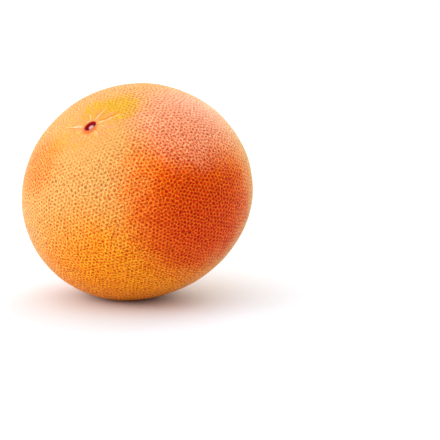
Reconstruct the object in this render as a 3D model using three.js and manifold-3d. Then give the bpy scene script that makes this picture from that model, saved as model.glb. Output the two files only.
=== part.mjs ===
// A whole ripe grapefruit, picked and lying at rest with its stem end leaning towards one side.
// Units are millimetres, +Z is up, and the origin is on the resting plane, under the middle of the fruit.
//
// The fruit grew as one piece, so it is one solid: its outer skin, with the shallow basin, the furrows and the
// scar where the stem was, the faint dimple at the blossom end, and the small flat spot that it rests on.

import * as THREE from "three";
import { mergeVertices } from "three/addons/utils/BufferGeometryUtils.js";
import Module from "manifold-3d";

// Overall shape, in the fruit's own frame, where +Z runs from its heart to the stem scar.
const EQUATOR_RADIUS = 57.5; // heart to skin, half way between the two ends
const POLE_RADIUS = 52; // heart to either end, before the basin is pressed in
const PLUMPNESS = 2.08; // 2 is an ellipse, and more fills out the shoulders
const SQUAT = 0.96; // height as it lies, as a share of its height if it weighed nothing

// Uneven growth, as shares of the radius, each with the side it bulges to.
const SHOULDER = { share: 0.0035, turn: THREE.MathUtils.degToRad(58) };
const OVAL = { share: 0.0035, turn: THREE.MathUtils.degToRad(-35) };
const THREE_SIDED = { share: 0.013, turn: THREE.MathUtils.degToRad(105) };

// The two ends.
const BASIN = { depth: 1.2, reach: 14 };
const SCAR = { depth: 1.1, reach: 2.2 };
const BLOSSOM_DIMPLE = { depth: 0.5, reach: 5 };

// Furrows that run out from the scar over the shoulder: the way each one points, its depth, its length.
const FURROWS = [
  { degrees: 18, depth: 0.2, length: 12 },
  { degrees: 66, depth: 0.25, length: 13 },
  { degrees: 104, depth: 0.2, length: 11 },
  { degrees: 140, depth: 0.5, length: 19 },
  { degrees: 183, depth: 0.4, length: 15 },
  { degrees: 226, depth: 0.25, length: 12 },
  { degrees: 287, depth: 0.45, length: 17 },
  { degrees: 325, depth: 0.2, length: 12 },
];
const FURROW_HALF_WIDTH = 1.1;
const FURROW_START = 4.5; // from the middle of the scar

// How it lies.
const LEAN = THREE.MathUtils.degToRad(40); // stem end away from straight up
const HEADING = THREE.MathUtils.degToRad(228); // the side that the stem end leans to, from +X towards +Y
const FLAT_SPOT_RADIUS = 11;

// Fineness of the solid.
const RINGS = 40;
const SEGMENTS = 72;
const GATHER = 0.25; // how strongly the rings gather towards the two ends, where the relief is finest

// A round dent with soft sides, at a distance along the skin from its middle.
function dent({ depth, reach }, distance) {
  return depth * Math.exp(-((distance / reach) ** 2));
}

// 0 before the start, 1 past the end, and smooth between.
function ease(start, end, x) {
  const t = THREE.MathUtils.clamp((x - start) / (end - start), 0, 1);
  return t * t * (3 - 2 * t);
}

// Depth of all the furrows at a distance from the scar and an angle round it.
function furrowDepth(distance, turn) {
  return FURROWS.reduce((sum, furrow) => {
    const off = turn - THREE.MathUtils.degToRad(furrow.degrees);
    const side = distance * Math.sin(off);
    const ahead = Math.cos(off) > 0 ? 1 : 0;
    const grows = ease(FURROW_START * 0.6, FURROW_START * 1.6, distance);
    const fades = 1 - ease(furrow.length * 0.5, furrow.length, distance);
    return sum + ahead * grows * fades * dent({ depth: furrow.depth, reach: FURROW_HALF_WIDTH }, side);
  }, 0);
}

// Distance from the heart to the skin, at an angle from the stem end and a turn round the fruit's axis.
function skinRadius(fromStem, turn) {
  const across = Math.sin(fromStem);
  const along = Math.abs(Math.cos(fromStem));
  const round =
    ((across / EQUATOR_RADIUS) ** PLUMPNESS + (along / POLE_RADIUS) ** PLUMPNESS) ** (-1 / PLUMPNESS);
  const uneven =
    1 +
    SHOULDER.share * Math.cos(turn - SHOULDER.turn) * Math.sin(2 * fromStem) +
    OVAL.share * Math.cos(2 * (turn - OVAL.turn)) * across ** 2 +
    THREE_SIDED.share * Math.cos(3 * (turn - THREE_SIDED.turn)) * across ** 3;
  const stemDistance = fromStem * POLE_RADIUS;
  const blossomDistance = (Math.PI - fromStem) * POLE_RADIUS;
  return (
    round * uneven -
    dent(BASIN, stemDistance) -
    dent(SCAR, stemDistance) -
    furrowDepth(stemDistance, turn) -
    dent(BLOSSOM_DIMPLE, blossomDistance)
  );
}

// The whole skin as one closed mesh, in the fruit's own frame.
function skinGeometry() {
  const sphere = new THREE.SphereGeometry(1, SEGMENTS, RINGS).rotateX(Math.PI / 2);
  sphere.deleteAttribute("normal");
  sphere.deleteAttribute("uv");
  const geometry = mergeVertices(sphere, 1e-4);
  const position = geometry.attributes.position;
  const point = new THREE.Vector3();
  for (let i = 0; i < position.count; i++) {
    point.fromBufferAttribute(position, i);
    const even = Math.acos(THREE.MathUtils.clamp(point.z, -1, 1));
    const fromStem = even - GATHER * Math.sin(2 * even);
    const turn = Math.atan2(point.y, point.x);
    const radius = skinRadius(fromStem, turn);
    position.setXYZ(
      i,
      radius * Math.sin(fromStem) * Math.cos(turn),
      radius * Math.sin(fromStem) * Math.sin(turn),
      radius * Math.cos(fromStem),
    );
  }
  return geometry;
}

// Leans the fruit over and lets it settle a little under its own weight.
function layDown(geometry) {
  return geometry.rotateY(LEAN).rotateZ(HEADING).scale(1, 1, SQUAT);
}

// Presses the flat spot, and puts the origin on it, under the middle of the fruit.
function pressFlatSpot(wasm, geometry) {
  geometry.computeBoundingBox();
  const { min, max } = geometry.boundingBox;
  const pressed = EQUATOR_RADIUS - Math.sqrt(EQUATOR_RADIUS ** 2 - FLAT_SPOT_RADIUS ** 2);
  geometry.translate(-(min.x + max.x) / 2, -(min.y + max.y) / 2, -min.z - pressed);

  const side = 4 * EQUATOR_RADIUS;
  const below = new THREE.BoxGeometry(side, side, side).translate(0, 0, -side / 2);
  return fromSolid(toSolid(wasm, geometry).subtract(toSolid(wasm, below)));
}

function toSolid(wasm, geometry) {
  const bare = geometry.clone();
  bare.deleteAttribute("normal");
  bare.deleteAttribute("uv");
  const merged = mergeVertices(bare, 1e-4);
  const mesh = new wasm.Mesh({
    numProp: 3,
    vertProperties: merged.attributes.position.array,
    triVerts: new Uint32Array(merged.index.array),
  });
  return new wasm.Manifold(mesh);
}

function fromSolid(solid) {
  const mesh = solid.getMesh();
  const geometry = new THREE.BufferGeometry();
  geometry.setAttribute("position", new THREE.BufferAttribute(mesh.vertProperties, 3));
  geometry.setIndex(new THREE.BufferAttribute(mesh.triVerts, 1));
  geometry.computeVertexNormals();
  return geometry;
}

const wasm = await Module();
wasm.setup();

const peel = new THREE.MeshStandardMaterial({ color: 0xf08a35, roughness: 0.45, metalness: 0 });

const grapefruit = new THREE.Mesh(pressFlatSpot(wasm, layDown(skinGeometry())), peel);
grapefruit.name = "grapefruit";

const part = new THREE.Group();
part.add(grapefruit);

export default part;
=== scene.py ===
"""A whole ripe grapefruit at rest, with its stem end leaning to one side, on a plain studio floor.

The skin is one closed mesh. It starts as a net of oil glands spread over a ball, which Geometry Nodes turn
into cells with a pit in each, and then push out to the fruit's own shape, lean over and set down.
Lengths are in metres and +Z is up. "The fruit's own frame" has its origin at the heart, and the stem scar
is on its +Z.
"""

import math

import bpy
import numpy as np
from bpy.props import FloatProperty, FloatVectorProperty, IntProperty, PointerProperty
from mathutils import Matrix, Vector
from mathutils.geometry import delaunay_2d_cdt


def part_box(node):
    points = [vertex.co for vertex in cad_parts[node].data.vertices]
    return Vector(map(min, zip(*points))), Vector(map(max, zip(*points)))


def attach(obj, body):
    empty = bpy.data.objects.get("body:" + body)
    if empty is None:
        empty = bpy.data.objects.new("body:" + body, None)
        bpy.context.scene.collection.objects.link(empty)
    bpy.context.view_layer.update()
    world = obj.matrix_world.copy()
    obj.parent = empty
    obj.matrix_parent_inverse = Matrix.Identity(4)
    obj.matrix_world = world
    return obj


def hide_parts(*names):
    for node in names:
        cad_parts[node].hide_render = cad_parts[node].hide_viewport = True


bl_info = {
    "name": "Grapefruit",
    "version": (1, 0, 0),
    "blender": (4, 5, 0),
    "location": "3D View > Sidebar > Grapefruit",
    "description": "Grows a whole ripe grapefruit and sets it on a studio floor",
    "category": "Object",
}

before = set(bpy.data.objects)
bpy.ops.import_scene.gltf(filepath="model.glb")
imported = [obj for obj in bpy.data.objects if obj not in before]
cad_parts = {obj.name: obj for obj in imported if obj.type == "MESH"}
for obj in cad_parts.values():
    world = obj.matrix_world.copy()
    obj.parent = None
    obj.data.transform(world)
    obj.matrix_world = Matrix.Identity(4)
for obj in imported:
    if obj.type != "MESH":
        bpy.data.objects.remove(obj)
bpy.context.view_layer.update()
NODE = "grapefruit"
BODY = "root"

MM = 0.001
SKIN = "grapefruit_skin"
PIT_LAYER = "pit"  # 0 on the ridge between glands, 1 at the bottom of a pit
TONE_LAYER = "tone"  # one random share for each gland
PLACE_LAYER = "place"  # where a point of the skin is in the fruit's own frame
BAKE_MAP = "OFBake"  # flat layout of the skin

# Furrows that run out from the scar over the shoulder: (way it points in degrees, depth, length).
FURROWS = [
    (18, 0.2 * MM, 12 * MM),
    (66, 0.25 * MM, 13 * MM),
    (104, 0.2 * MM, 11 * MM),
    (140, 0.5 * MM, 19 * MM),
    (183, 0.4 * MM, 15 * MM),
    (226, 0.25 * MM, 12 * MM),
    (287, 0.45 * MM, 17 * MM),
    (325, 0.2 * MM, 12 * MM),
]


# ------------------------------------------------------------------ values that a user would change


def length(name, description, default, **more):
    """A property for a length, given in millimetres and kept in metres."""
    return FloatProperty(
        name=name, description=description, default=default * MM, min=0, precision=5, unit="LENGTH", **more
    )


def angle(name, description, degrees):
    """A property for an angle, given in degrees and kept in radians."""
    return FloatProperty(
        name=name, description=description, default=math.radians(degrees), subtype="ANGLE", unit="ROTATION"
    )


def power(name, description, watts):
    """A property for the power of a light."""
    return FloatProperty(name=name, description=description, default=watts, min=0, unit="POWER")


def share(name, description, default, high=1.0):
    """A property for a number from nothing to a whole, or to a higher top."""
    return FloatProperty(name=name, description=description, default=default, min=0, max=high)


def colour(name, description, red, green, blue):
    """A property for a colour, given as the eye sees it from 0 to 255 and kept in linear light."""
    return FloatVectorProperty(
        name=name,
        description=description,
        default=[linear(part / 255) for part in (red, green, blue)],
        size=3,
        min=0,
        max=1,
        subtype="COLOR",
    )


def linear(shown):
    """The amount of light behind a shown brightness from 0 to 1."""
    return shown / 12.92 if shown <= 0.04045 else ((shown + 0.055) / 1.055) ** 2.4


class GrapefruitShape(bpy.types.PropertyGroup):
    """Overall shape, growth and rest."""

    equator_radius: length("Equator radius", "Heart to skin, half way between the two ends", 57.5)
    pole_radius: length("Pole radius", "Heart to either end, before the basin is pressed in", 52)
    plumpness: share("Plumpness", "2 is an ellipse, and more fills out the shoulders", 2.08, 4)
    shoulder_share: share("Shoulder", "How far one shoulder stands out, as a share of the radius", 0.0035)
    shoulder_turn: angle("Shoulder side", "The side that the shoulder is on", 58)
    oval_share: share("Oval", "How oval the fruit is, seen from its end", 0.0035)
    oval_turn: angle("Oval side", "The side that the oval's long axis points to", -35)
    sides_share: share("Three sides", "How three-sided the fruit is, seen from its end", 0.013)
    sides_turn: angle("Three sides' turn", "The way that the first of the three sides points", 105)
    basin_depth: length("Basin depth", "Depth of the shallow basin round the stem scar", 1.2)
    basin_reach: length("Basin reach", "How far the basin reaches from the scar", 14)
    furrow_half_width: length("Furrow half width", "From the middle of a furrow to its side", 1.1)
    furrow_start: length("Furrow start", "Where the furrows start, from the middle of the scar", 4.5)
    dimple_depth: length("Blossom dimple depth", "Depth of the dimple at the blossom end", 0.5)
    dimple_reach: length("Blossom dimple reach", "How far that dimple reaches from its middle", 5)
    swell_height: length("Swells", "Height of the low swells and hollows all over the skin", 0.5)
    swell_width: length("Swell width", "Width of one such swell", 14.4)
    squat: share("Squat", "Height as it lies, as a share of its height if it weighed nothing", 0.96)
    lean: angle("Lean", "Stem end away from straight up", 40)
    heading: angle("Heading", "The side that the stem end leans to, from +X towards +Y", 228)
    flat_spot_radius: length("Flat spot radius", "Radius of the spot that the fruit rests on", 11)


class GrapefruitScar(bpy.types.PropertyGroup):
    """The scar where the stem was."""

    radius: length("Scar radius", "Middle of the scar to its lip", 3.0)
    point_share: share("Scar points", "How far its two ends are drawn out to points", 0.13)
    point_turn: angle("Scar points' turn", "The way that one of the two points faces", 158)
    depth: length("Scar depth", "Lip down to the floor of the scar", 1.35)
    wall: length("Scar wall", "Width of the steep wall under the lip", 0.75)
    lip_height: length("Lip height", "How far the lip stands out of the skin", 0.16)
    button_radius: length("Button radius", "Middle to edge of the pale button on the floor", 1.7)
    button_height: length("Button height", "How far the button stands out of the floor", 0.6)


class GrapefruitGlands(bpy.types.PropertyGroup):
    """The oil glands of the peel."""

    spacing: length("Least spacing", "Least distance between the middles of two glands", 1.58)
    seed: IntProperty(name="Seed", description="Picks one of many like layouts of the glands", default=7)
    pit_width: share("Pit width", "Width of a gland's pit, as a share of the gland's cell", 0.56)
    pit_depth: length("Pit depth", "Depth of a pit under the ridge round it", 0.2)


class GrapefruitPeel(bpy.types.PropertyGroup):
    """Colours and gloss of the peel."""

    # This base colour is paler than the peel itself, as a painted sheen of the soft key light. It shows most
    # on the upper left, where no patch covers it.
    ground_and_sheen: colour("Ground and sheen", "Peach colour of the peel between its glands", 218, 149, 80)
    orange: colour("Orange", "Richer orange of the lower side", 248, 134, 20)
    gold: colour("Gold", "Yellow patches near the stem", 212, 152, 6)
    blush: colour("Blush", "Orange-red side of the fruit", 250, 100, 0)
    # Paints the lower right of the red side darker than the peel itself: partly its own darker red, partly
    # painted shade.
    deep_blush_and_shade: colour("Deep blush and shade", "Darkest part of the red side", 206, 40, 0)
    # Paints the upper right paler and rosier: partly the blush's own rosy tint, partly a painted sheen of
    # the rim light.
    pink_and_sheen: colour("Pink and sheen", "Rosy patches of the blush", 240, 144, 114)
    stem_end: colour("Stem end", "Pale smooth peel round the scar", 212, 140, 72)
    ridge: colour("Ridges", "Yellower peel that shows between the glands", 248, 157, 30)
    pit_red: colour("Red pits", "Tint of the peel over a gland, at its reddest", 245, 140, 70)
    pit_brown: colour("Brown pits", "Tint of the peel over a gland, at its brownest", 212, 112, 48)
    scar_wall: colour("Scar wall", "Wine-red wall of the scar", 160, 8, 24)
    scar_floor: colour("Scar floor", "Dark floor of the scar round the button", 110, 16, 40)
    scar_button: colour("Scar button", "Pale, dry middle of the scar", 206, 158, 150)
    roughness: share("Roughness", "How dull the wax on the peel is", 0.44)


class GrapefruitStudio(bpy.types.PropertyGroup):
    """Floor, lights and camera."""

    floor: colour("Floor", "Paint of the studio floor", 229, 233, 237)
    floor_radius: length("Floor radius", "Radius of the round studio floor", 1500)
    surroundings: share("Surroundings", "Brightness of the pale walls all round", 1.0, 10)
    key_power: power("Key light", "Big soft light on the left", 2.3)
    rim_power: power("Rim light", "Soft light from behind", 3.2)
    elevation: angle("Camera elevation", "How far the camera looks down", 12)
    distance: length("Camera distance", "Camera to the middle of the fruit", 2000)
    view_width: length("View width", "Width of what the camera sees at the fruit", 217.2)
    aim_right: length("Aim to the right", "How far the camera aims past the fruit's middle", 40.8)
    aim_down: length("Aim down", "How far the camera aims below the fruit's middle", 14.6)


# ------------------------------------------------------------------ node trees written as expressions


class Wire:
    """One output socket of a node. Arithmetic with wires and numbers adds Math nodes."""

    def __init__(self, tree, socket):
        self.tree = tree
        self.socket = socket

    def math(self, operation, *values):
        return self.tree.add("ShaderNodeMath", {"operation": operation}, dict(enumerate(values)))

    def other(self, name):
        """Another output of the node that this wire comes from."""
        return Wire(self.tree, self.socket.node.outputs[name])

    def __add__(self, value):
        return self.math("ADD", self, value)

    def __sub__(self, value):
        return self.math("SUBTRACT", self, value)

    def __rsub__(self, value):
        return self.math("SUBTRACT", value, self)

    def __mul__(self, value):
        return self.math("MULTIPLY", self, value)

    def __truediv__(self, value):
        return self.math("DIVIDE", self, value)

    def __rtruediv__(self, value):
        return self.math("DIVIDE", value, self)

    def __pow__(self, value):
        return self.math("POWER", self, value)

    def __neg__(self):
        return self.math("MULTIPLY", self, -1.0)

    def __abs__(self):
        return self.math("ABSOLUTE", self)

    __radd__ = __add__
    __rmul__ = __mul__

    def sin(self):
        return self.math("SINE", self)

    def cos(self):
        return self.math("COSINE", self)


class Tree:
    """Adds nodes to one node tree, for a material, the world or Geometry Nodes."""

    def __init__(self, node_tree):
        self.node_tree = node_tree

    def add(self, kind, settings=None, sockets=None, output=0):
        """Adds a node of a kind, with its settings first and then its sockets' values or wires."""
        node = self.node_tree.nodes.new(kind)
        for name, value in (settings or {}).items():
            setattr(node, name, value)
        for key, value in (sockets or {}).items():
            if isinstance(value, Wire):
                self.node_tree.links.new(value.socket, node.inputs[key])
            else:
                node.inputs[key].default_value = value
        return Wire(self, node.outputs[output]) if node.outputs else node

    def vector(self, operation, *values):
        """A Vector Math node."""
        output = "Value" if operation in ("DOT_PRODUCT", "LENGTH", "DISTANCE") else "Vector"
        settings = {"operation": operation}
        sockets = dict(enumerate(values))
        if operation == "SCALE":
            sockets = {0: values[0], "Scale": values[1]}
        return self.add("ShaderNodeVectorMath", settings, sockets, output)

    def parts(self, vector):
        """The three numbers of a vector."""
        x = self.add("ShaderNodeSeparateXYZ", None, {0: vector})
        return x, x.other("Y"), x.other("Z")

    def combine(self, x, y, z):
        """A vector from three numbers."""
        return self.add("ShaderNodeCombineXYZ", None, {0: x, 1: y, 2: z})

    def ease(self, start, end, value, low=0.0, high=1.0):
        """The low number before the start, the high one past the end, and smooth between."""
        settings = {"interpolation_type": "SMOOTHSTEP"}
        sockets = {"Value": value, "From Min": start, "From Max": end, "To Min": low, "To Max": high}
        return self.add("ShaderNodeMapRange", settings, sockets)

    def bell(self, distance, reach):
        """1 where the distance is nothing, and smoothly down to nothing past the reach."""
        scaled = distance / reach
        return scaled.math("EXPONENT", -(scaled * scaled))

    def noise(self, vector, width, detail=0.0, roughness=0.5):
        """Soft noise about one half, with blobs of about the given width."""
        sockets = {"Vector": vector, "Scale": 1 / width, "Detail": detail, "Roughness": roughness}
        return self.add("ShaderNodeTexNoise", {"noise_dimensions": "3D"}, sockets)

    def mix(self, factor, first, second, blend="MIX"):
        """A blend of two colours."""
        settings = {"data_type": "RGBA", "blend_type": blend}
        return self.add("ShaderNodeMix", settings, {0: factor, 6: first, 7: second}, 2)


class Growth(Tree):
    """A Geometry Nodes tree with a named input for each size in some property groups."""

    def __init__(self, name, *groups):
        super().__init__(bpy.data.node_groups.new(name, "GeometryNodeTree"))
        interface = self.node_tree.interface
        interface.new_socket("Geometry", in_out="INPUT", socket_type="NodeSocketGeometry")
        interface.new_socket("Geometry", in_out="OUTPUT", socket_type="NodeSocketGeometry")
        self.start = self.add("NodeGroupInput")
        self.values = {}
        for group in groups:
            for rule in sizes_of(group):
                kind = "NodeSocketInt" if rule.type == "INT" else "NodeSocketFloat"
                socket = interface.new_socket(rule.name, in_out="INPUT", socket_type=kind)
                socket.description = rule.description
                self.values[socket.identifier] = getattr(group, rule.identifier)

    def size(self, name):
        """The named input."""
        return self.start.other(name)

    def finish(self, geometry, material):
        """Ends the tree with plain, smooth geometry in one material."""
        smooth = self.add("GeometryNodeSetShadeSmooth", None, {"Geometry": geometry})
        real = self.add("GeometryNodeRealizeInstances", None, {"Geometry": smooth})
        painted = self.add("GeometryNodeSetMaterial", None, {"Geometry": real, "Material": material})
        self.add("NodeGroupOutput", None, {0: painted})

    def grow(self, thing):
        """Runs the tree on an object, and leaves the result as the object's own plain mesh."""
        modifier = thing.modifiers.new(self.node_tree.name, "NODES")
        modifier.node_group = self.node_tree
        for identifier, value in self.values.items():
            modifier[identifier] = value
        graph = bpy.context.evaluated_depsgraph_get()
        grown = bpy.data.meshes.new_from_object(
            thing.evaluated_get(graph), preserve_all_data_layers=True, depsgraph=graph
        )
        thing.modifiers.remove(modifier)
        thing.data = grown
        return grown


def sizes_of(group):
    """The rules of a property group's sizes, without its colours."""
    return [
        rule
        for rule in group.bl_rna.properties
        if rule.type in ("FLOAT", "INT") and not getattr(rule, "is_array", False)
    ]


# ------------------------------------------------------------------ the net of glands


# Smooth patches of fine rings, with no glands, at the two ends: (reach, first step, growth of the step).
STEM_PATCH = (7.6 * MM, 0.3 * MM, 0.07)
BLOSSOM_PATCH = (2.6 * MM, 0.4 * MM, 0.15)

# How far the nearest gland is from the rim of each patch, measured along the fruit's axis.
STEM_DROP = 0.108 * MM
BLOSSOM_RISE = 0.036 * MM


def new_piece(name, vertices, faces):
    """A mesh object in the scene, from points and faces."""
    mesh = bpy.data.meshes.new(name)
    mesh.from_pydata(vertices, [], faces)
    thing = bpy.data.objects.new(name, mesh)
    bpy.context.scene.collection.objects.link(thing)
    return thing


def points_of(mesh):
    """A mesh's points as an array."""
    flat = np.empty(len(mesh.vertices) * 3, np.float32)
    mesh.vertices.foreach_get("co", flat)
    return flat.reshape(-1, 3).astype(float)


def gland_sites(shape, glands):
    """Ways from the heart to each gland, evenly spread over the fruit with none too close to another."""
    tree = Growth("Gland sites", shape, glands)
    equator = tree.size("Equator radius")
    ball = tree.add("GeometryNodeMeshIcoSphere", None, {"Radius": 1.0, "Subdivisions": 6})
    stretch = tree.combine(equator, equator, tree.size("Pole radius"))
    fruit = tree.add("GeometryNodeTransform", None, {"Geometry": ball, "Scale": stretch})
    spacing = tree.size("Least spacing")
    tries = 12.0
    sockets = {
        "Mesh": fruit,
        "Distance Min": spacing,
        "Density Max": tries / (spacing * spacing),
        "Seed": tree.size("Seed"),
    }
    points = tree.add("GeometryNodeDistributePointsOnFaces", {"distribute_method": "POISSON"}, sockets)
    tree.finish(tree.add("GeometryNodePointsToVertices", None, {"Points": points}), None)

    sower = new_piece("gland_sites", [], [])
    sites = points_of(tree.grow(sower))
    bpy.data.objects.remove(sower)
    return sites / np.linalg.norm(sites, axis=1)[:, None]


def fine_rings(pole_radius, reach, first_step, growth):
    """Rings of points round +Z, as ways from a heart at distance 1, out to a reach along the skin."""
    points = [(0.0, 0.0, 1.0)]
    first_step = first_step / pole_radius
    from_stem = first_step
    count = 0
    while from_stem < reach / pole_radius:
        step = first_step + growth * from_stem
        around = max(6, round(2 * math.pi * from_stem / step))
        for i in range(around):
            turn = 2 * math.pi * (i + 0.5 * (count % 2)) / around
            across = math.sin(from_stem)
            points.append((across * math.cos(turn), across * math.sin(turn), math.cos(from_stem)))
        from_stem += step * math.sqrt(3) / 2
        count += 1
    return np.array(points)


def closed_net(points):
    """Triangles that join points on a ball into a closed net. The last point is the one at -Z."""
    flat = points[:-1, :2] / (1 + points[:-1, 2:])
    found = delaunay_2d_cdt([Vector(p) for p in flat], [], [], 0, 1e-12)
    origin = np.array([old[0] for old in found[3]])
    faces = origin[np.array(found[2])]
    edges = np.sort(np.vstack([faces[:, [0, 1]], faces[:, [1, 2]], faces[:, [2, 0]]]), axis=1)
    edges, times = np.unique(edges, axis=0, return_counts=True)
    rim = edges[times == 1]
    cap = np.column_stack([rim, np.full(len(rim), len(points) - 1)])
    faces = np.vstack([faces, cap])
    corners = points[faces]
    outward = np.cross(corners[:, 1] - corners[:, 0], corners[:, 2] - corners[:, 0])
    inside_out = (outward * corners.sum(1)).sum(1) < 0
    faces[inside_out] = faces[inside_out][:, ::-1]
    return faces


def loosened(points, faces, free, amount):
    """Moves each free point part of the way to the middle of its neighbours, so that cells even out."""
    total = np.zeros_like(points)
    count = np.zeros(len(points))
    for a, b in ((0, 1), (1, 2), (2, 0)):
        for here, there in ((a, b), (b, a)):
            np.add.at(total, faces[:, here], points[faces[:, there]])
            np.add.at(count, faces[:, here], 1)
    moved = points + amount * (total / count[:, None] - points) * free[:, None]
    return moved / np.linalg.norm(moved, axis=1)[:, None]


def skin_net(shape, glands):
    """The net that the skin grows from, and which of its points are glands."""
    sites = gland_sites(shape, glands)
    pole = shape.pole_radius
    stem_patch = fine_rings(pole, *STEM_PATCH)
    blossom_patch = fine_rings(pole, *BLOSSOM_PATCH)[::-1] * [1, 1, -1]
    height = sites[:, 2]
    below_stem = height < stem_patch[:, 2].min() - STEM_DROP / pole
    above_blossom = height > blossom_patch[:, 2].max() + BLOSSOM_RISE / pole
    sites = sites[below_stem & above_blossom]
    points = np.vstack([stem_patch, sites, blossom_patch])
    gland = np.zeros(len(points))
    gland[len(stem_patch) : len(stem_patch) + len(sites)] = 1
    for _ in range(2):
        points = loosened(points, closed_net(points), gland, 0.6)
    net = new_piece(SKIN, points.tolist(), closed_net(points).tolist())
    net.data.attributes.new("gland", "FLOAT", "POINT").data.foreach_set("value", gland.astype(np.float32))
    return net


# ------------------------------------------------------------------ the skin


def furrow_depth(tree, distance, turn, start, half_width):
    """Depth of all the furrows at a distance from the scar and an angle round it."""
    grows = tree.ease(start * 0.6, start * 1.6, distance)
    total = 0.0
    for degrees, depth, far in FURROWS:
        off = turn - math.radians(degrees)
        ahead = off.math("GREATER_THAN", off.cos(), 0.0)
        fades = tree.ease(far, far * 0.5, distance)
        total = total + ahead * fades * tree.bell(distance * off.sin(), half_width) * depth
    return total * grows


def wandering(tree, way, turn):
    """The turn, with a slow wander that bends the furrows a little."""
    return turn + (tree.noise(way, 0.12, 1.0) - 0.5) * 0.5


def scar_relief(tree, distance, turn):
    """Height of the scar, its lip and its button over the skin round it."""
    points = (2 * (turn - tree.size("Scar points' turn"))).cos() * tree.size("Scar points")
    lip = tree.size("Scar radius") * (1 + points)
    wall = tree.size("Scar wall")
    recess = tree.ease(lip, lip - wall, distance)
    button_edge = tree.size("Button radius") * (1 + 0.12 * (5 * turn).cos())
    button = tree.ease(button_edge, button_edge * 0.55, distance)
    rim = tree.bell(distance - lip - wall * 0.5, wall)
    raised = rim * tree.size("Lip height") + button * tree.size("Button height")
    return raised - recess * tree.size("Scar depth")


def skin_radius(tree, way):
    """Distance from the heart to the skin along a way out."""
    x, y, up = tree.parts(way)
    from_stem = up.math("ARCCOSINE", up)
    turn = y.math("ARCTAN2", y, x)
    across = from_stem.sin()
    pole = tree.size("Pole radius")
    plump = tree.size("Plumpness")
    equator = tree.size("Equator radius")
    round_shape = ((across / equator) ** plump + (abs(up) / pole) ** plump) ** (-1 / plump)
    shoulder = tree.size("Shoulder") * (turn - tree.size("Shoulder side")).cos() * (2 * from_stem).sin()
    oval = tree.size("Oval") * (2 * (turn - tree.size("Oval side"))).cos() * across**2
    sides = tree.size("Three sides") * (3 * (turn - tree.size("Three sides' turn"))).cos() * across**3
    stem_distance = from_stem * pole
    blossom_distance = (math.pi - from_stem) * pole
    basin = tree.size("Basin depth") * tree.bell(stem_distance, tree.size("Basin reach"))
    dimple_reach = tree.size("Blossom dimple reach")
    dimple = tree.size("Blossom dimple depth") * tree.bell(blossom_distance, dimple_reach)
    swell_width = tree.size("Swell width") / equator
    swell = (tree.noise(way, swell_width, 1.0) - 0.5) * tree.size("Swells")
    bent = wandering(tree, way, turn)
    start = tree.size("Furrow start")
    furrows = furrow_depth(tree, stem_distance, bent, start, tree.size("Furrow half width"))
    return (
        round_shape * (1 + shoulder + oval + sides)
        - basin
        - dimple
        - furrows
        + scar_relief(tree, stem_distance, turn)
        + swell
    )


def pitted(tree, net):
    """Cells round each point of the net, with a pit in the middle of each gland's cell."""
    cells = tree.add("GeometryNodeDualMesh", None, {"Mesh": net})
    tone = tree.add("FunctionNodeRandomValue", {"data_type": "FLOAT"}, {2: 0.0, 3: 1.0, "Seed": 3}, 1)
    layer = {"data_type": "FLOAT", "domain": "FACE"}
    cells = tree.add(
        "GeometryNodeStoreNamedAttribute", layer, {"Geometry": cells, "Name": TONE_LAYER, "Value": tone}
    )
    gland = tree.add("GeometryNodeInputNamedAttribute", {"data_type": "FLOAT"}, {"Name": "gland"})
    picked = gland.math("GREATER_THAN", gland, 0.5)
    mesh = cells
    for pit, width in ((0.3, tree.size("Pit width") * (0.85 + 0.3 * tone)), (1.0, 0.0)):
        sockets = {"Mesh": mesh, "Selection": picked, "Offset Scale": 0.0, "Individual": True}
        mesh = tree.add("GeometryNodeExtrudeMesh", {"mode": "FACES"}, sockets)
        picked = mesh.other("Top")
        sockets = {"Geometry": mesh, "Selection": picked, "Scale": width}
        mesh = tree.add("GeometryNodeScaleElements", {"domain": "FACE"}, sockets)
        sockets = {"Geometry": mesh, "Selection": picked, "Name": PIT_LAYER, "Value": pit}
        layer = {"data_type": "FLOAT", "domain": "POINT"}
        mesh = tree.add("GeometryNodeStoreNamedAttribute", layer, sockets)
    sockets = {"Geometry": mesh, "Selection": picked, "Distance": 1e-5}
    return tree.add("GeometryNodeMergeByDistance", None, sockets)


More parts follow.
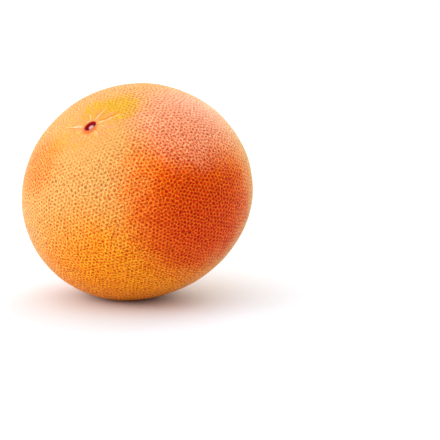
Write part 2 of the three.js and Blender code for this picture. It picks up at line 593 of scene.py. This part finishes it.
def skin_tree(shape, scar, glands, material):
    """Turns the net on a ball into the fruit, as it lies."""
    tree = Growth("Grapefruit skin", shape, scar, glands)
    mesh = pitted(tree, tree.start)

    here = tree.add("GeometryNodeInputPosition")
    way = tree.vector("NORMALIZE", here)
    place = tree.vector("SCALE", way, skin_radius(tree, way))
    layer = {"data_type": "FLOAT_VECTOR", "domain": "POINT"}
    sockets = {"Geometry": mesh, "Name": PLACE_LAYER, "Value": place}
    mesh = tree.add("GeometryNodeStoreNamedAttribute", layer, sockets)

    place = tree.add("GeometryNodeInputNamedAttribute", {"data_type": "FLOAT_VECTOR"}, {"Name": PLACE_LAYER})
    pit = tree.add("GeometryNodeInputNamedAttribute", {"data_type": "FLOAT"}, {"Name": PIT_LAYER})
    stem_end = (0, 0, shape.pole_radius - shape.basin_depth)
    from_stem = tree.vector("DISTANCE", place, stem_end)
    depth = pit * tree.size("Pit depth") * tree.ease(7 * MM, 30 * MM, from_stem, 0.35, 1.0)
    sunk = tree.vector("SUBTRACT", place, tree.vector("SCALE", tree.vector("NORMALIZE", place), depth))
    turned = tree.add(
        "ShaderNodeVectorRotate",
        {"rotation_type": "EULER_XYZ"},
        {"Vector": sunk, "Rotation": tree.combine(0.0, tree.size("Lean"), tree.size("Heading"))},
    )
    lying = tree.vector("MULTIPLY", turned, tree.combine(1.0, 1.0, tree.size("Squat")))
    mesh = tree.add("GeometryNodeSetPosition", None, {"Geometry": mesh, "Position": lying})

    box = tree.add("GeometryNodeBoundBox", None, {"Geometry": mesh})
    low_x, low_y, low_z = tree.parts(box.other("Min"))
    high_x, high_y, _ = tree.parts(box.other("Max"))
    equator = tree.size("Equator radius")
    flat_spot = tree.size("Flat spot radius")
    pressed = equator - (equator * equator - flat_spot * flat_spot) ** 0.5
    x, y, z = tree.parts(tree.add("GeometryNodeInputPosition"))
    settled = tree.combine(
        x - (low_x + high_x) * 0.5,
        y - (low_y + high_y) * 0.5,
        z.math("MAXIMUM", z - low_z - pressed, 0.0),
    )
    mesh = tree.add("GeometryNodeSetPosition", None, {"Geometry": mesh, "Position": settled})
    tree.finish(mesh, material)
    return tree


def check_closed(mesh):
    """Stops the script unless every edge of the mesh has a face on both sides."""
    edges = np.empty(len(mesh.loops), np.int32)
    mesh.loops.foreach_get("edge_index", edges)
    times = np.bincount(edges, minlength=len(mesh.edges))
    if times.min() != 2 or times.max() != 2:
        raise RuntimeError("the skin isn't closed: an edge has too few or too many faces")


def lay_out_bake_map(mesh):
    """Lays the skin out flat in six squares, one for each side of a cube round the fruit."""
    place = np.empty(len(mesh.vertices) * 3, np.float32)
    mesh.attributes[PLACE_LAYER].data.foreach_get("vector", place)
    place = place.reshape(-1, 3)
    corner_point = np.empty(len(mesh.loops), np.int32)
    mesh.loops.foreach_get("vertex_index", corner_point)
    first = np.empty(len(mesh.polygons), np.int32)
    mesh.polygons.foreach_get("loop_start", first)
    count = np.diff(np.append(first, len(mesh.loops)))
    face = np.repeat(np.arange(len(first)), count)

    corners = place[corner_point]
    middle = np.add.reduceat(corners, first)[face]
    axis = np.abs(middle).argmax(1)
    row = np.arange(len(face))
    side = 2 * axis + (middle[row, axis] < 0)
    across = corners[row, (axis + 1) % 3] / np.abs(corners[row, axis])
    along = corners[row, (axis + 2) % 3] / np.abs(corners[row, axis])
    across = np.where(middle[row, axis] < 0, -across, across)
    half = 0.46  # of a square, which leaves a margin round each side
    columns, rows = 3, 2
    u = (side % columns + 0.5 + half * np.arctan(across) * 4 / math.pi) / columns
    v = (side // columns + 0.5 + half * np.arctan(along) * 4 / math.pi) / rows
    layer = mesh.uv_layers.new(name=BAKE_MAP)
    layer.data.foreach_set("uv", np.column_stack([u, v]).astype(np.float32).ravel())
    mesh.uv_layers.active = layer


# ------------------------------------------------------------------ the peel's colours


# Soft patches on the skin: (colour, degrees from the stem, turn in degrees, reach in degrees, strength).
PATCHES = [
    ("gold", 118, 215, 60, 0.4),
    ("blush", 125, 300, 50, 0.45),
    ("orange", 98, 24, 60, 1.0),
    ("blush", 72, 86, 50, 1.0),
    # Low on the right: partly darker red peel, partly painted shade.
    ("deep_blush_and_shade", 86, 78, 45, 1.0),
    # High on the right: partly rosy blush, partly a painted sheen of the rim light.
    ("pink_and_sheen", 50, 126, 36, 0.8),
    ("gold", 20, 154, 15, 0.8),
    ("gold", 13, 200, 11, 0.8),
    ("gold", 20, 318, 10, 0.3),
    ("blush", 37, 318, 22, 0.5),
]
FINE_EDGED = 15  # degrees of reach, up to which a patch has a finely ragged edge

# Colours in linear light, with their opacity. A tint multiplies the peel's colour.
FURROW_HIGHLIGHT = (0.95, 0.72, 0.4, 1)  # painted highlight along one side of each furrow
OLIVE_TINT = (0.82, 0.78, 0.3, 1)  # flecks on the gold patches
PALE_AND_HIGHLIGHT_TINT = (1.1, 1.7, 1.9, 1)  # painted highlight on the ridges between glands, and pale flecks
GRAIN_TINTS = [(0.68, 0.48, 0.36, 1), (1.2, 1.45, 1.55, 1)]  # darkest and lightest grain
BRIGHTEST = 0.96  # no part of the peel gives back more light than this share

BANK_TURN = 0.09  # radians round the scar, from a furrow to the painted highlight along its side
GRAIN_OFFSET = (0.05, 0.0, 0.0)  # so that the grain doesn't repeat the other noises
GLOW_MIDDLE = (1.41 * MM, 0.51 * MM, 0.0)  # middle of the red glow, across from the fruit's axis


def patch(tree, way, degrees_from_stem, turn, reach, ragged):
    """1 in the middle of a soft patch, and 0 past its reach."""
    from_stem = math.radians(degrees_from_stem)
    turn = math.radians(turn)
    middle = (
        math.sin(from_stem) * math.cos(turn),
        math.sin(from_stem) * math.sin(turn),
        math.cos(from_stem),
    )
    edge = math.cos(math.radians(reach))
    near = (tree.vector("DOT_PRODUCT", way, middle) - edge) / (1 - edge)
    return tree.ease(0.0, 1.0, near + ragged)


def peel_material(peel, shape, scar):
    """Waxy citrus peel: a blushed base colour with a painted sheen and painted shade in it, glands seen
    through it with a painted highlight on the ridges and beside the furrows, and the wine-red stem scar.
    """
    material = bpy.data.materials.new("Grapefruit peel")
    material.use_nodes = True
    material.node_tree.nodes.clear()
    tree = Tree(material.node_tree)

    place = tree.add("ShaderNodeAttribute", {"attribute_name": PLACE_LAYER}, None, "Vector")
    pit = tree.add("ShaderNodeAttribute", {"attribute_name": PIT_LAYER}, None, "Fac")
    tone = tree.add("ShaderNodeAttribute", {"attribute_name": TONE_LAYER}, None, "Fac")
    way = tree.vector("NORMALIZE", place)

    blotches = tree.noise(place, 9 * MM, 3.0, 0.6) - 0.5
    specks = tree.noise(place, 3 * MM, 3.0, 0.7) - 0.5
    # Starts from a base colour that is paler than the peel itself, as a painted sheen of the key light.
    colour_now = paint(peel.ground_and_sheen)
    ripe = 0.0
    gilded = 0.0
    for name, degrees, turn, reach, strength in PATCHES:
        ragged = blotches * 0.5 if reach > FINE_EDGED else specks * 2.4
        mask = patch(tree, way, degrees, turn, reach, ragged) * strength
        colour_now = tree.mix(mask, colour_now, paint(getattr(peel, name)))
        if name in ("orange", "blush"):
            ripe = mask.math("MAXIMUM", mask, ripe)
        if name == "gold":
            gilded = mask.math("MAXIMUM", mask, gilded)

    x, y, up = tree.parts(place)
    from_axis = tree.vector("LENGTH", tree.combine(x, y, 0.0))
    near_stem = up.math("GREATER_THAN", up, 0.0)
    around_scar = tree.ease(15 * MM, 3 * MM, from_axis + blotches * 6 * MM) * near_stem
    colour_now = tree.mix(around_scar * 0.9, colour_now, paint(peel.stem_end))

    turn = y.math("ARCTAN2", y, x)
    spoke = tree.combine(2 * turn.cos(), 2 * turn.sin(), from_axis / (14 * MM))
    streaks = tree.noise(spoke, 0.3, 2.0, 0.6)
    streaked = tree.ease(20 * MM, 8 * MM, from_axis) * tree.ease(3 * MM, 6 * MM, from_axis) * near_stem
    colour_now = tree.mix(tree.ease(0.52, 0.7, streaks) * streaked * 0.7, colour_now, paint(peel.gold))
    colour_now = tree.mix(tree.ease(0.46, 0.3, streaks) * streaked * 0.6, colour_now, paint(peel.pink_and_sheen))
    bent = wandering(tree, way, turn)
    start = shape.furrow_start
    half_width = shape.furrow_half_width
    deepest = max(depth for _, depth, _ in FURROWS)
    groove = furrow_depth(tree, from_axis, bent, start, half_width * 0.5) / deepest * near_stem
    # A painted highlight along one side of each furrow.
    bank_highlight = furrow_depth(tree, from_axis, bent + BANK_TURN, start, half_width * 0.4) / deepest * near_stem
    colour_now = tree.mix(groove * 0.9, colour_now, paint(peel.blush))
    colour_now = tree.mix(bank_highlight * 0.7, colour_now, FURROW_HIGHLIGHT)

    mottle = tree.noise(place, 0.8 * MM, 2.0, 0.6)
    flecks = tree.noise(place, 0.6 * MM, 1.0, 0.6)
    grain = tree.noise(tree.vector("ADD", place, GRAIN_OFFSET), 0.66 * MM, 0.0)
    olive = tree.mix(1.0, colour_now, OLIVE_TINT, "MULTIPLY")
    colour_now = tree.mix(gilded * tree.ease(0.52, 0.64, mottle) * 0.9, colour_now, olive)
    showing = tree.ease(6 * MM, 32 * MM, from_axis + (1 - near_stem) * 1.0, 0.14, 1.0)
    # The ridges between the glands are partly a yellower peel and partly a painted highlight.
    ridge = tree.ease(0.3, 0.0, pit + (mottle - 0.5) * 0.4) * showing
    pale_and_highlight = tree.mix(1.0, colour_now, PALE_AND_HIGHLIGHT_TINT, "MULTIPLY")
    colour_now = tree.mix(ridge * 0.6, colour_now, pale_and_highlight)
    colour_now = tree.mix(ridge * (0.2 + 0.22 * ripe), colour_now, paint(peel.ridge))
    colour_now = tree.mix(tree.ease(0.5, 0.68, flecks) * 0.9, colour_now, pale_and_highlight)
    pit_tint = tree.mix(tree.ease(0.35, 1.0, tone), paint(peel.pit_red), paint(peel.pit_brown))
    ragged_pit = pit + (mottle - 0.5) * 1.3
    pit_here = tree.ease(0.15, 0.75, ragged_pit) * showing * (0.75 + 0.25 * ripe)
    colour_now = tree.mix(pit_here, colour_now, tree.mix(1.0, colour_now, pit_tint, "MULTIPLY"))

    shade = tree.mix(tree.ease(0.3, 0.7, grain), *GRAIN_TINTS)
    shaded = tree.mix(1.0, colour_now, shade, "MULTIPLY")
    colour_now = tree.mix(showing * (0.6 + 0.4 * ripe), colour_now, shaded)

    beside = tree.vector("DISTANCE", tree.combine(x, y, 0.0), GLOW_MIDDLE)
    glow = tree.ease(5.4 * MM, 2.4 * MM, beside) * near_stem
    colour_now = tree.mix(glow * 0.6, colour_now, paint(peel.deep_blush_and_shade))
    lip = scar.radius * (1 + scar.point_share * (2 * (turn - scar.point_turn)).cos())
    wall = tree.ease(lip + 0.15 * MM, lip - 0.3 * MM, from_axis) * near_stem
    colour_now = tree.mix(wall, colour_now, paint(peel.scar_wall))
    floor = tree.ease(lip - 0.55 * MM, lip - 1.1 * MM, from_axis) * near_stem
    colour_now = tree.mix(floor, colour_now, paint(peel.scar_floor))
    button = tree.ease(scar.button_radius, scar.button_radius * 0.7, from_axis + (flecks - 0.5) * 0.9 * MM)
    colour_now = tree.mix(button * near_stem, colour_now, paint(peel.scar_button))

    colour_now = tree.vector("MINIMUM", colour_now, (BRIGHTEST,) * 3)

    fine_bumps = tree.noise(place, 0.45 * MM, 2.0)
    roughness = peel.roughness + blotches * 0.12 + (1 - pit) * -0.04 + wall * 0.15
    bump = tree.add("ShaderNodeBump", None, {"Strength": 1.0, "Distance": 0.05 * MM, "Height": fine_bumps})
    shader = tree.add(
        "ShaderNodeBsdfPrincipled",
        None,
        {
            "Base Color": colour_now,
            "Roughness": roughness,
            "Specular IOR Level": 0.06,
            "Normal": bump,
        },
    )
    tree.add("ShaderNodeOutputMaterial", None, {"Surface": shader})
    return material


def paint(three):
    """A colour with its opacity, as colour sockets take it."""
    return (*three, 1.0)


# ------------------------------------------------------------------ the stage


LIGHT_DISTANCE = 0.8  # from the middle of the fruit to each light
KEY_WAY = (-0.82, -0.33, 0.44)  # way from the fruit to the light on the left
KEY_SIDE = 0.5
RIM_WAY = (0.45, 0.77, 0.45)  # way from the fruit to the light behind it
RIM_SIDE = 0.6
SEEN_BRIGHTNESS = 1.1  # of the walls, where the camera sees them


def plain_material(name, three, roughness):
    """Flat, even paint."""
    material = bpy.data.materials.new(name)
    material.use_nodes = True
    material.node_tree.nodes.clear()
    tree = Tree(material.node_tree)
    sockets = {"Base Color": paint(three), "Roughness": roughness, "Specular IOR Level": 0.0}
    shader = tree.add("ShaderNodeBsdfPrincipled", None, sockets)
    tree.add("ShaderNodeOutputMaterial", None, {"Surface": shader})
    return material


def build_floor(studio):
    """A round floor that the fruit rests on."""
    around = 96
    ring = [2 * math.pi * i / around for i in range(around)]
    radius = studio.floor_radius
    points = [(radius * math.cos(turn), radius * math.sin(turn), 0.0) for turn in ring]
    floor = new_piece("floor", points, [list(range(around))])
    floor.data.materials.append(plain_material("Studio floor", studio.floor, 0.9))


def build_surroundings(studio):
    """Pale walls all round, which the camera sees as white."""
    world = bpy.data.worlds.new("Studio")
    world.use_nodes = True
    world.node_tree.nodes.clear()
    tree = Tree(world.node_tree)
    seen = tree.add("ShaderNodeBackground", None, {"Color": (1, 1, 1, 1), "Strength": SEEN_BRIGHTNESS})
    way = tree.add("ShaderNodeTexCoord")
    right, ahead, up = tree.parts(way)
    glow = studio.surroundings * (0.8 + 0.6 * up.math("MAXIMUM", up, 0.0) + 0.2 * ahead - 0.35 * right)
    lit = tree.add("ShaderNodeBackground", None, {"Color": (1, 1, 1, 1), "Strength": glow})
    camera_ray = tree.add("ShaderNodeLightPath")
    shader = tree.add("ShaderNodeMixShader", None, {0: camera_ray, 1: lit, 2: seen})
    tree.add("ShaderNodeOutputWorld", None, {"Surface": shader})
    bpy.context.scene.world = world


def soft_light(name, middle, way, side, power):
    """A square soft light that faces a point from a way off."""
    light = bpy.data.lights.new(name, "AREA")
    light.shape = "SQUARE"
    light.size = side
    light.energy = power
    lamp = bpy.data.objects.new(name, light)
    bpy.context.scene.collection.objects.link(lamp)
    way = Vector(way).normalized()
    lamp.location = middle + way * LIGHT_DISTANCE
    lamp.rotation_euler = way.to_track_quat("Z", "Y").to_euler()
    lamp.visible_camera = False


def build_camera(studio, middle):
    """A long lens in front of the fruit that looks a little down."""
    tilt = studio.elevation
    back = Vector((0, -math.cos(tilt), math.sin(tilt)))
    up = Vector((0, math.sin(tilt), math.cos(tilt)))
    lens = bpy.data.cameras.new("Camera")
    lens.sensor_width = 36
    lens.lens = lens.sensor_width * studio.distance / studio.view_width
    lens.clip_start = 0.01
    camera = bpy.data.objects.new("Camera", lens)
    bpy.context.scene.collection.objects.link(camera)
    aim = middle + Vector((studio.aim_right, 0, 0)) - up * studio.aim_down
    camera.location = aim + back * studio.distance
    camera.rotation_euler = back.to_track_quat("Z", "Y").to_euler()
    bpy.context.scene.camera = camera


# ------------------------------------------------------------------ operators, panel and add-on


class GRAPEFRUIT_OT_skin(bpy.types.Operator):
    """Grow the whole fruit: glands, skin, stem scar and peel"""

    bl_idname = "grapefruit.skin"
    bl_label = "Grow the skin"

    def execute(self, context):
        scene = context.scene
        shape = scene.grapefruit_shape
        scar = scene.grapefruit_scar
        glands = scene.grapefruit_glands
        skin = skin_net(shape, glands)
        material = peel_material(scene.grapefruit_peel, shape, scar)
        mesh = skin_tree(shape, scar, glands, material).grow(skin)
        check_closed(mesh)
        lay_out_bake_map(mesh)
        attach(skin, BODY)
        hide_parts(NODE)
        return {"FINISHED"}


class GRAPEFRUIT_OT_studio(bpy.types.Operator):
    """Set up the floor, the surroundings, the lights and the camera"""

    bl_idname = "grapefruit.studio"
    bl_label = "Set up the studio"

    def execute(self, context):
        studio = context.scene.grapefruit_studio
        low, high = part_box(NODE)
        middle = (low + high) / 2
        build_floor(studio)
        build_surroundings(studio)
        soft_light("Key light", middle, KEY_WAY, KEY_SIDE, studio.key_power)
        soft_light("Rim light", middle, RIM_WAY, RIM_SIDE, studio.rim_power)
        build_camera(studio, middle)
        context.scene.view_settings.view_transform = "Standard"
        return {"FINISHED"}


class GRAPEFRUIT_PT_panel(bpy.types.Panel):
    """Lists the steps that make the grapefruit"""

    bl_idname = "GRAPEFRUIT_PT_panel"
    bl_label = "Grapefruit"
    bl_space_type = "VIEW_3D"
    bl_region_type = "UI"
    bl_category = "Grapefruit"

    def draw(self, context):
        for operator in OPERATORS:
            self.layout.operator(operator.bl_idname)
        for name in GROUPS:
            box = self.layout.box()
            group = getattr(context.scene, name)
            for rule in group.bl_rna.properties:
                if rule.identifier not in ("rna_type", "name"):
                    box.prop(group, rule.identifier)


OPERATORS = [GRAPEFRUIT_OT_skin, GRAPEFRUIT_OT_studio]
GROUPS = {
    "grapefruit_shape": GrapefruitShape,
    "grapefruit_scar": GrapefruitScar,
    "grapefruit_glands": GrapefruitGlands,
    "grapefruit_peel": GrapefruitPeel,
    "grapefruit_studio": GrapefruitStudio,
}


def register():
    for thing in [*GROUPS.values(), *OPERATORS, GRAPEFRUIT_PT_panel]:
        bpy.utils.register_class(thing)
    for name, group in GROUPS.items():
        setattr(bpy.types.Scene, name, PointerProperty(type=group))


def unregister():
    for name in GROUPS:
        delattr(bpy.types.Scene, name)
    for thing in reversed([*GROUPS.values(), *OPERATORS, GRAPEFRUIT_PT_panel]):
        bpy.utils.unregister_class(thing)


def main():
    """Registers the add-on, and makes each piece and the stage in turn."""
    register()
    bpy.ops.grapefruit.skin()
    bpy.ops.grapefruit.studio()


if __name__ == "__main__":
    main()
